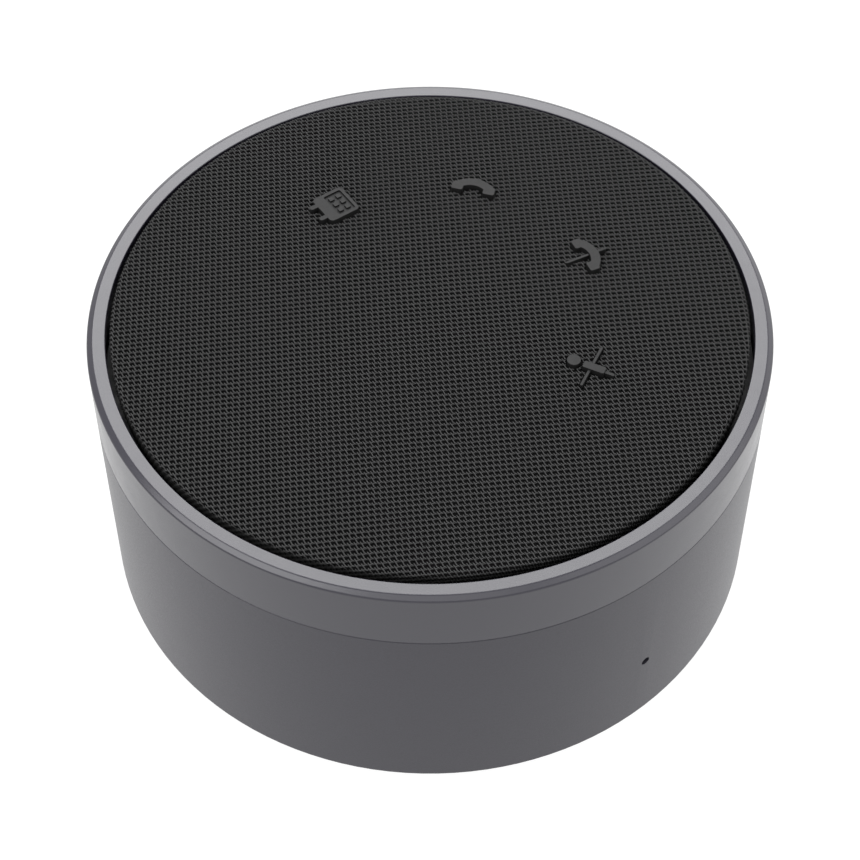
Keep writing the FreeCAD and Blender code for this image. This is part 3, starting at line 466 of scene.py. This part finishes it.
def all_finishes(settings):
    """Every finish by the name of its material slot."""
    return {
        "case_plastic": case_plastic(settings.shells),
        "ring_metal": ring_metal(settings.shells),
        "base_plastic": base_plastic(),
        "foot_rubber": foot_rubber(),
        "knit_fabric": knit_yarn(settings.knit),
        "grille_plastic": moulded("grille_plastic", (0.012, 0.012, 0.012), 0.6),
        "key_rubber": key_rubber(settings.keys),
        "inner_plastic": moulded("inner_plastic", (0.045, 0.045, 0.047), 0.5),
        "plunger_plastic": moulded("plunger_plastic", (0.55, 0.53, 0.5), 0.45, 0.1 * MM, 0.004 * MM),
        "seal_rubber": moulded("seal_rubber", (0.018, 0.018, 0.019), 0.8, 0.15 * MM, 0.01 * MM),
        "speaker_paper": speaker_paper(),
        "spider_cloth": cloth("spider_cloth", (0.45, 0.26, 0.07), 0.45 * MM),
        "driver_steel": plated("driver_steel", (0.42, 0.42, 0.43), 0.38),
        "magnet_ferrite": magnet_ferrite(),
        "coil_copper": coil_copper(),
        "former_film": film("former_film", (0.5, 0.2, 0.03), 0.8 * MM),
        "board_laminate": board_laminate(),
        "chip_resin": chip_resin(),
        "shield_metal": plated("shield_metal", (0.62, 0.61, 0.58), 0.3, (1, 0.1, 1)),
        "mesh_cloth": cloth("mesh_cloth", (0.02, 0.02, 0.02), 0.12 * MM),
        "flex_film": film("flex_film", (0.42, 0.17, 0.03), 0.5 * MM),
        "lead_jacket": lead_jacket(),
        "screw_steel": plated("screw_steel", (0.3, 0.3, 0.31), 0.32),
    }


def finish_for(slot):
    """Material of a slot, once the finishes are mixed."""
    return bpy.data.materials[slot]


class SPEAKERPHONE_OT_finishes(bpy.types.Operator):
    """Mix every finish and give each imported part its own"""
    bl_idname = "speakerphone.finishes"
    bl_label = "Finishes"

    def execute(self, context):
        for plain in list(bpy.data.materials):
            bpy.data.materials.remove(plain)
        finishes = all_finishes(context.scene.speakerphone)
        for name, node in NODES.items():
            node.data.materials.clear()
            node.data.materials.append(finishes[SLOT_OF[name]].material)
        return {"FINISHED"}


# ---- Shapes ----------------------------------------------------------------------------
def merged_copy(node_name):
    """A node's mesh with its loose triangles joined."""
    bm = bmesh.new()
    bm.from_mesh(NODES[node_name].data)
    bmesh.ops.remove_doubles(bm, verts=bm.verts, dist=0.001 * MM)
    return bm


def sharpen(bm):
    """Smooth faces that aren't level, with sharp edges where the surface turns sharply."""
    for face in bm.faces:
        face.smooth = abs(face.normal.z) < 0.99
    for edge in bm.edges:
        edge.smooth = len(edge.link_faces) == 2 and edge.calc_face_angle() < SHARP


def finished_piece(name, mesh, slot, body="case", material=None):
    """Object of a finished mesh, in its finish and on its body, or on none."""
    piece = bpy.data.objects.new(name, mesh)
    bpy.context.scene.collection.objects.link(piece)
    mesh.materials.clear()
    mesh.materials.append(material or finish_for(slot))
    if body:
        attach(piece, body)
    return piece


def mesh_of(bm, name):
    """Mesh of a finished bmesh."""
    mesh = bpy.data.meshes.new(name)
    bm.to_mesh(mesh)
    bm.free()
    return mesh


# ---- Knitted fabric --------------------------------------------------------------------
# One stitch of each yarn: wales to the right, courses up, depth as a share of the strand radius, and
# thickness as a share of it. The looped yarn runs down to the right: it dips under the stitch, comes up
# at the loop's tip and runs down the loop's side. The laid-in yarn lies under it, along the row.
LOOP_STITCH = (
    (-0.47, -0.12, 0.6, 0.9), (-0.37, -0.23, 0.0, 1.0), (-0.25, -0.33, 0.0, 1.0), (-0.12, -0.36, 0.5, 0.9),
    (0.02, -0.30, 1.9, 0.8), (-0.01, -0.06, 1.5, 0.65), (0.00, 0.02, 0.7, 0.65), (0.05, -0.14, 0.3, 0.8),
    (0.18, -0.36, 0.4, 0.85), (0.31, -0.57, 0.6, 0.85), (0.41, -0.76, 1.1, 0.82), (0.465, -0.93, 1.2, 0.8),
)
LAID_STITCH = (
    (-0.25, -0.34, 1.3, 0.85), (0.02, -0.28, 1.6, 0.85), (0.28, -0.25, 1.2, 0.85), (0.50, -0.32, 1.1, 0.85),
)
LOOP_WAY = (1, -1)           # stitches right and up from one stitch of a yarn to its next
LAID_WAY = (1, 0)
STRAND_END = 58.9 * MM       # flat distance from the middle at which the strands end, down the cover's side


def cover_point(x, y, depth):
    """Point at a depth below the outer surface of the cover, for a point of the flat cloth."""
    reach = math.hypot(x, y)
    if reach <= EDGE_R:
        upwards = Vector((x, y, math.sqrt(DOME_R ** 2 - reach ** 2))).normalized()
        return Vector((0, 0, COVER_HIGH.z - DOME_R)) + upwards * (DOME_R - depth)
    outwards = Vector((x, y, 0)) / reach
    turn = min((reach - EDGE_R) / SHOULDER, math.pi / 2)
    normal = outwards * math.sin(turn) + Vector((0, 0, math.cos(turn)))
    drop = max(0.0, reach - EDGE_R - SHOULDER_LENGTH)
    return outwards * EDGE_R + Vector((0, 0, RING_HIGH.z - drop)) + normal * (SHOULDER - depth)


def cover_openings():
    """Test for whether a point of the flat cloth is in an opening for a symbol."""
    tree = BVHTree.FromObject(NODES["fabric_cover"], bpy.context.evaluated_depsgraph_get())
    above = 5 * MM

    def is_open(x, y):
        if math.hypot(x, y) > EDGE_R:
            return False
        surface = cover_point(x, y, 0)
        hit = tree.ray_cast(surface + Vector((0, 0, above)), Vector((0, 0, -1)), above + FABRIC_T / 4)
        return hit[0] is None

    return is_open


def knit_strands(knit):
    """Runs of points along every yarn of both kinds."""
    up = Vector((-math.sin(knit.course_lean), math.cos(knit.course_lean))) * knit.course
    right = Vector((math.cos(knit.wale_rise), math.sin(knit.wale_rise))) * knit.wale
    is_open = cover_openings()
    stray = random.Random(knit.seed)
    count = math.ceil(2 * STRAND_END / min(knit.course, knit.wale))
    runs = []
    for stitch, way in ((LOOP_STITCH, LOOP_WAY), (LAID_STITCH, LAID_WAY)):
        for strand in range(-2 * count, 2 * count + 1):
            run = []
            for number in range(-count, count + 1):
                corner = right * (number * way[0]) + up * (strand + number * way[1])
                if corner.length > STRAND_END + 2 * knit.course:
                    continue
                slip = Vector((stray.uniform(-1, 1), stray.uniform(-1, 1))) * knit.looseness
                for across, along, sunk, thickness in stitch:
                    flat = corner + right * across + up * along + slip
                    if flat.length > STRAND_END or is_open(flat.x, flat.y):
                        runs.append(run)
                        run = []
                    else:
                        depth = (1 + sunk) * knit.strand_radius
                        run.append((*cover_point(flat.x, flat.y, depth), thickness))
            runs.append(run)
    return [run for run in runs if len(run) > 2]


def strips_of(runs, count):
    """The runs in strips that lie side by side and hold about as many points each."""
    ordered = sorted(runs, key=lambda run: sum(point[0] + point[1] for point in run) / len(run))
    total = sum(len(run) for run in runs)
    strips = [[] for _ in range(count)]
    done = 0
    for run in ordered:
        strips[min(count - 1, done * count // total)].append(run)
        done += len(run)
    return strips


def strand_mesh(name, runs, radius):
    """Mesh of closed yarn tubes along the runs."""
    curve = bpy.data.curves.new(name, "CURVE")
    curve.dimensions = "3D"
    curve.twist_mode = "Z_UP"
    curve.bevel_depth = radius
    curve.bevel_resolution = 0
    curve.use_fill_caps = True
    for run in runs:
        spline = curve.splines.new("POLY")
        spline.points.add(len(run) - 1)
        spline.points.foreach_set("co", [number for x, y, z, _ in run for number in (x, y, z, 1)])
        spline.points.foreach_set("radius", [point[3] for point in run])
    holder = bpy.data.objects.new(name, curve)
    mesh = bpy.data.meshes.new_from_object(holder)
    bpy.data.objects.remove(holder)
    mesh.shade_smooth()
    return mesh


def backing_mesh():
    """Thin dark layer between the strands and the grille, with the openings for the symbols."""
    bm = merged_copy("fabric_cover")
    near = 0.02 * MM
    for vert in bm.verts:
        reach = math.hypot(vert.co.x, vert.co.y)
        if reach <= EDGE_R + near:
            if abs(vert.co.z - cover_point(vert.co.x, vert.co.y, 0).z) < near:
                vert.co.z -= BACKING_SINK
        elif vert.co.z >= RING_HIGH.z:
            centre = Vector((vert.co.x, vert.co.y, 0)) * (EDGE_R / reach) + Vector((0, 0, RING_HIGH.z))
            if (vert.co - centre).length > SHOULDER - near:
                vert.co += (centre - vert.co).normalized() * BACKING_SINK
        elif reach > COVER_HIGH.x - near:
            vert.co.xy *= (reach - BACKING_SINK) / reach
    return mesh_of(bm, "fabric_backing")


class SPEAKERPHONE_OT_knitted_fabric(bpy.types.Operator):
    """Knit the fabric that is stretched over the grille"""
    bl_idname = "speakerphone.knitted_fabric"
    bl_label = "Knitted fabric"

    def execute(self, context):
        knit = context.scene.speakerphone.knit
        for number, group in enumerate(strips_of(knit_strands(knit), knit.pieces), 1):
            mesh = strand_mesh(f"fabric_yarns_{number}", group, knit.strand_radius)
            finished_piece(mesh.name, mesh, "knit_fabric")
        backing = finished_piece("fabric_backing", backing_mesh(), "knit_fabric",
                                 material=lining_and_hole_shade().material)
        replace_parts(backing, "fabric_cover")
        return {"FINISHED"}


# ---- Bezel ring ------------------------------------------------------------------------
RING_OUTER_R = RING_HIGH.x
RING_FLAT_R = RING_OUTER_R - 1.0 * MM
RING_WALL_R = 57.6 * MM
RING_SPIGOT_R = 57.4 * MM
RING_SPIGOT_INNER_R = RING_SPIGOT_R - 1.4 * MM
RING_LIP_R = 56.7 * MM
RING_SEAT_R = 55.0 * MM
RING_TOP_Z = RING_HIGH.z
RING_CHAMFER_Z = RING_TOP_Z - 0.62 * MM
RING_LIP_Z = RING_TOP_Z - 2.0 * MM
RING_CHASSIS_Z = 44.6 * MM
RING_SEAT_Z = 43.0 * MM
RING_SEAM_Z = RING_LOW.z + 3.0 * MM
SEAM_GAP = 0.12 * MM
SEAM_R = RING_OUTER_R - 0.5 * MM
SUPPORT = 0.04 * MM          # distance of the extra points that keep the shading flat beside a rounding


def ring_outline(edge):
    """Section of the ring: radius, height and rounding of each corner, from the lip outwards."""
    return (
        (RING_LIP_R, RING_TOP_Z, edge),
        (RING_FLAT_R, RING_TOP_Z, edge),
        (RING_OUTER_R, RING_CHAMFER_Z, 1.4 * edge),
        (RING_OUTER_R, RING_SEAM_Z + SEAM_GAP, edge / 3),
        (SEAM_R, RING_SEAM_Z + SEAM_GAP, 0),
        (SEAM_R, RING_SEAM_Z, 0),
        (RING_SPIGOT_R, RING_SEAM_Z, 0),
        (RING_SPIGOT_R, RING_LOW.z, edge),
        (RING_SPIGOT_INNER_R, RING_LOW.z, edge),
        (RING_SPIGOT_INNER_R, RING_SEAT_Z, 0),
        (RING_SEAT_R, RING_SEAT_Z, edge),
        (RING_SEAT_R, RING_CHASSIS_Z, edge),
        (RING_WALL_R, RING_CHASSIS_Z, 0),
        (RING_WALL_R, RING_LIP_Z, edge),
        (RING_LIP_R, RING_LIP_Z, edge),
    )


def spun(name, outline, steps):
    """Ring whose section is a closed outline with rounded corners."""
    bm = bmesh.new()
    corners = [bm.verts.new((radius, 0, height)) for radius, height, _ in outline]
    bm.faces.new(corners)
    for corner, (_, _, rounding) in zip(corners, outline):
        if rounding:
            bmesh.ops.bevel(bm, geom=[corner], offset=rounding, offset_type="OFFSET", affect="VERTICES",
                            segments=4, profile=0.5, material=-1)
    bmesh.ops.delete(bm, geom=bm.faces[:], context="FACES_ONLY")
    for edge in [e for e in bm.edges if e.calc_length() > 8 * SUPPORT]:
        new_edge, _ = bmesh.utils.edge_split(edge, edge.verts[0], SUPPORT / edge.calc_length())
        longer = max(new_edge, edge, key=lambda e: e.calc_length())
        bmesh.utils.edge_split(longer, longer.verts[0], 1 - SUPPORT / longer.calc_length())
    bmesh.ops.spin(bm, geom=bm.verts[:] + bm.edges[:], cent=(0, 0, 0), axis=(0, 0, 1), angle=2 * math.pi,
                   steps=steps, use_merge=True)
    bmesh.ops.remove_doubles(bm, verts=bm.verts, dist=WELD)
    bmesh.ops.recalc_face_normals(bm, faces=bm.faces)
    sharpen(bm)
    return mesh_of(bm, name)


class SPEAKERPHONE_OT_ring(bpy.types.Operator):
    """Turn the bezel ring with its finely rounded edges"""
    bl_idname = "speakerphone.ring"
    bl_label = "Bezel ring"

    def execute(self, context):
        shells = context.scene.speakerphone.shells
        mesh = spun("bezel_ring_shell", ring_outline(shells.ring_edge), shells.ring_steps)
        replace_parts(finished_piece(mesh.name, mesh, "ring_metal"), "bezel_ring")
        return {"FINISHED"}


# ---- Rear socket -----------------------------------------------------------------------
CONTACTS = 12                # in each row
CONTACT_SIZE = Vector((0.26, 2.4, 0.04)) * MM
CONTACT_PITCH = 0.5 * MM
CONTACT_INSET = 0.25 * MM    # from the tip of the tongue


def contact_strips(low, high):
    """Two rows of contacts on the tongue's faces, near its tip."""
    y = high.y - CONTACT_INSET - CONTACT_SIZE.y / 2
    bm = bmesh.new()
    for face_z in (low.z, high.z):
        for number in range(CONTACTS):
            x = (high.x + low.x) / 2 + (number - (CONTACTS - 1) / 2) * CONTACT_PITCH
            strip = bmesh.ops.create_cube(bm, size=1.0)["verts"]
            bmesh.ops.scale(bm, vec=CONTACT_SIZE, verts=strip)
            bmesh.ops.translate(bm, vec=(x, y, face_z), verts=strip)
    bmesh.ops.bevel(bm, geom=bm.edges[:], offset=CONTACT_SIZE.z / 4, offset_type="OFFSET", affect="EDGES",
                    segments=1, profile=0.5, material=-1)
    return mesh_of(bm, "usb_c_contacts")


class SPEAKERPHONE_OT_contacts(bpy.types.Operator):
    """Lay the contacts on the tongue of the rear socket"""
    bl_idname = "speakerphone.contacts"
    bl_label = "Socket contacts"

    def execute(self, context):
        mesh = contact_strips(*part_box("usb_c_tongue"))
        finished_piece(mesh.name, mesh, "shield_metal", material=contact_gold().material)
        return {"FINISHED"}


# ---- Keys ------------------------------------------------------------------------------
SAME_PLANE = math.radians(1)
LEAST_CURVE = math.radians(3)       # upright edges that turn by an angle between these two are on a curve
MOST_CURVE = math.radians(50)
CURVE_PERCENT = 30                  # share of a facet that its rounding takes at each side


def key_mesh(name, edge):
    """Key with smooth curves and a softly rounded edge round the top of its symbol."""
    bm = merged_copy(name + "_key")
    bmesh.ops.dissolve_limit(bm, angle_limit=SAME_PLANE, verts=bm.verts, edges=bm.edges,
                             delimit={"NORMAL"})
    lowest_top = RING_HIGH.z + SHOULDER
    facets = [e for e in bm.edges
              if len(e.link_faces) == 2 and e.verts[0].co.xy == e.verts[1].co.xy
              and max(v.co.z for v in e.verts) > lowest_top
              and LEAST_CURVE < e.calc_face_angle() < MOST_CURVE]
    bmesh.ops.bevel(bm, geom=facets, offset=CURVE_PERCENT, offset_type="PERCENT", affect="EDGES", segments=2,
                    profile=0.5, material=-1, clamp_overlap=True)
    rims = [e for e in bm.edges
            if len(e.link_faces) == 2 and min(v.co.z for v in e.verts) > lowest_top
            and sorted(round(f.normal.z) for f in e.link_faces) == [0, 1]
            and e.calc_face_angle_signed() > 0]
    bmesh.ops.bevel(bm, geom=rims, offset=edge, offset_type="OFFSET", affect="EDGES", segments=2,
                    profile=0.5, material=-1, clamp_overlap=True)
    sharpen(bm)
    return mesh_of(bm, name + "_key_cap")


class SPEAKERPHONE_OT_keys(bpy.types.Operator):
    """Make the four rubber keys whose symbols stand through the fabric"""
    bl_idname = "speakerphone.keys"
    bl_label = "Keys"

    def execute(self, context):
        edge = context.scene.speakerphone.keys.edge
        for name in KEY_NAMES:
            piece = finished_piece(name + "_key_cap", key_mesh(name, edge), "key_rubber", name + "_button")
            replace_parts(piece, name + "_key")
        return {"FINISHED"}


# ---- Loudspeaker suspension ------------------------------------------------------------
WEDGES = 24                  # in each round part
# Each part's node, the radius that stays with the basket, and the radius that moves with the cone.
SUSPENSION = (("driver_surround", 21.7 * MM, 18.5 * MM), ("driver_spider", 14.7 * MM, 7.6 * MM))


def wedge_mesh(name, node_name, middle, width):
    """Closed wedge of a round node, from its axis outwards, centred on an angle."""
    bm = merged_copy(node_name)
    for side in (-1, 1):
        angle = middle + side * width / 2
        outwards = Vector((-math.sin(angle), math.cos(angle), 0)) * side
        cut = bmesh.ops.bisect_plane(bm, geom=bm.verts[:] + bm.edges[:] + bm.faces[:], plane_co=(0, 0, 0),
                                     plane_no=outwards, dist=WELD, clear_outer=True)
        rim = [part for part in cut["geom_cut"] if isinstance(part, bmesh.types.BMEdge)]
        bmesh.ops.edgeloop_fill(bm, edges=rim)
    bmesh.ops.recalc_face_normals(bm, faces=bm.faces)
    sharpen(bm)
    return mesh_of(bm, name)


class SPEAKERPHONE_OT_suspension(bpy.types.Operator):
    """Cut the surround and the spider into wedges"""
    bl_idname = "speakerphone.suspension"
    bl_label = "Loudspeaker suspension"

    def execute(self, context):
        width = 2 * math.pi / WEDGES
        for node_name, fixed_r, moving_r in SUSPENSION:
            for number in range(WEDGES):
                middle = (number + 0.5) * width
                mesh = wedge_mesh(f"{node_name}_{number + 1}", node_name, middle, width)
                piece = finished_piece(mesh.name, mesh, SLOT_OF[node_name], body=None)
                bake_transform(piece)
                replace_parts(piece, node_name)
        return {"FINISHED"}


# ---- Stage -----------------------------------------------------------------------------
FLOOR_SIZE = 4.0
SENSOR_WIDTH = 36
LAMP_AIM = Vector((0, 0, 0.03))
# Lamps on the sides: place, size, and power as a share of the side lamps' power.
SIDE_SOFTBOXES = {
    "left_softbox": ((-0.77, -0.35, 0.95), 0.85, 1.0),
    "right_softbox": ((0.9, -0.16, 0.75), 1.1, 0.62),
    "low_softbox": ((0.85, 0.75, 0.35), 0.8, 0.2),
    "front_softbox": ((0.0, -0.6, 1.02), 0.7, 0.2),
}


def softbox(name, place, size, power):
    """Square lamp that points at the middle of the object."""
    lamp = bpy.data.lights.new(name, "AREA")
    lamp.shape = "SQUARE"
    lamp.size = size
    lamp.energy = power
    holder = bpy.data.objects.new(name, lamp)
    holder.location = place
    holder.rotation_mode = "QUATERNION"
    holder.rotation_quaternion = (LAMP_AIM - Vector(place)).to_track_quat("-Z", "Y")
    bpy.context.scene.collection.objects.link(holder)


def floor_piece(colour, glow):
    """Translucent white table, lit from below."""
    bm = bmesh.new()
    bmesh.ops.create_grid(bm, x_segments=1, y_segments=1, size=FLOOR_SIZE)
    floor = bpy.data.objects.new("floor", mesh_of(bm, "floor"))
    bpy.context.scene.collection.objects.link(floor)
    finish = Finish("floor_acrylic", colour, 0.8, Emission_Color=(1, 1, 1, 1), Emission_Strength=glow)
    floor.data.materials.append(finish.material)


class SPEAKERPHONE_OT_stage(bpy.types.Operator):
    """Set up the floor, the soft light and the camera"""
    bl_idname = "speakerphone.stage"
    bl_label = "Stage"

    def execute(self, context):
        stage = context.scene.speakerphone.stage
        scene = context.scene
        floor_piece(stage.floor_colour, stage.floor_glow)
        world = bpy.data.worlds.new("daylight")
        world.use_nodes = True
        background = world.node_tree.nodes["Background"]
        background.inputs["Color"].default_value = (1, 1, 1, 1)
        background.inputs["Strength"].default_value = stage.daylight
        scene.world = world
        softbox("back_softbox", (-0.06, 0.75, 0.85), 0.9, stage.softbox)
        for name, (place, size, share) in SIDE_SOFTBOXES.items():
            softbox(name, place, size, share * stage.side_softbox)
        camera = bpy.data.cameras.new("camera")
        camera.lens = stage.lens
        camera.sensor_width = SENSOR_WIDTH
        camera.clip_start = 10 * MM
        holder = bpy.data.objects.new("camera", camera)
        holder.location = stage.eye
        holder.rotation_euler = (math.pi / 2 - stage.tilt, 0, 0)
        scene.collection.objects.link(holder)
        scene.camera = holder
        scene.view_settings.view_transform = "Standard"
        return {"FINISHED"}


# ---- Add-on ----------------------------------------------------------------------------
class SpeakerphoneSettings(bpy.types.PropertyGroup):
    shells: PointerProperty(type=ShellSettings, name="Shells")
    knit: PointerProperty(type=KnitSettings, name="Knit")
    keys: PointerProperty(type=KeySettings, name="Keys")
    stage: PointerProperty(type=StageSettings, name="Stage")


MAKERS = (SPEAKERPHONE_OT_finishes, SPEAKERPHONE_OT_stage, SPEAKERPHONE_OT_ring,
          SPEAKERPHONE_OT_contacts, SPEAKERPHONE_OT_keys, SPEAKERPHONE_OT_suspension,
          SPEAKERPHONE_OT_knitted_fabric)


class SPEAKERPHONE_PT_panel(bpy.types.Panel):
    """Lists the pieces and their settings"""
    bl_idname = "SPEAKERPHONE_PT_panel"
    bl_label = "Speakerphone"
    bl_space_type = "VIEW_3D"
    bl_region_type = "UI"
    bl_category = "Speakerphone"

    def draw(self, context):
        settings = context.scene.speakerphone
        for group in (settings.shells, settings.knit, settings.keys, settings.stage):
            box = self.layout.box()
            for name in group.__annotations__:
                box.prop(group, name)
        for maker in MAKERS:
            self.layout.operator(maker.bl_idname)


CLASSES = (ShellSettings, KnitSettings, KeySettings, StageSettings, SpeakerphoneSettings,
           *MAKERS, SPEAKERPHONE_PT_panel)


def register():
    for cls in CLASSES:
        bpy.utils.register_class(cls)
    bpy.types.Scene.speakerphone = PointerProperty(type=SpeakerphoneSettings)


def unregister():
    del bpy.types.Scene.speakerphone
    for cls in reversed(CLASSES):
        bpy.utils.unregister_class(cls)


def main():
    register()
    bpy.ops.speakerphone.finishes()
    bpy.ops.speakerphone.stage()
    bpy.ops.speakerphone.ring()
    bpy.ops.speakerphone.contacts()
    bpy.ops.speakerphone.keys()
    bpy.ops.speakerphone.suspension()
    bpy.ops.speakerphone.knitted_fabric()


if __name__ == "__main__":
    main()
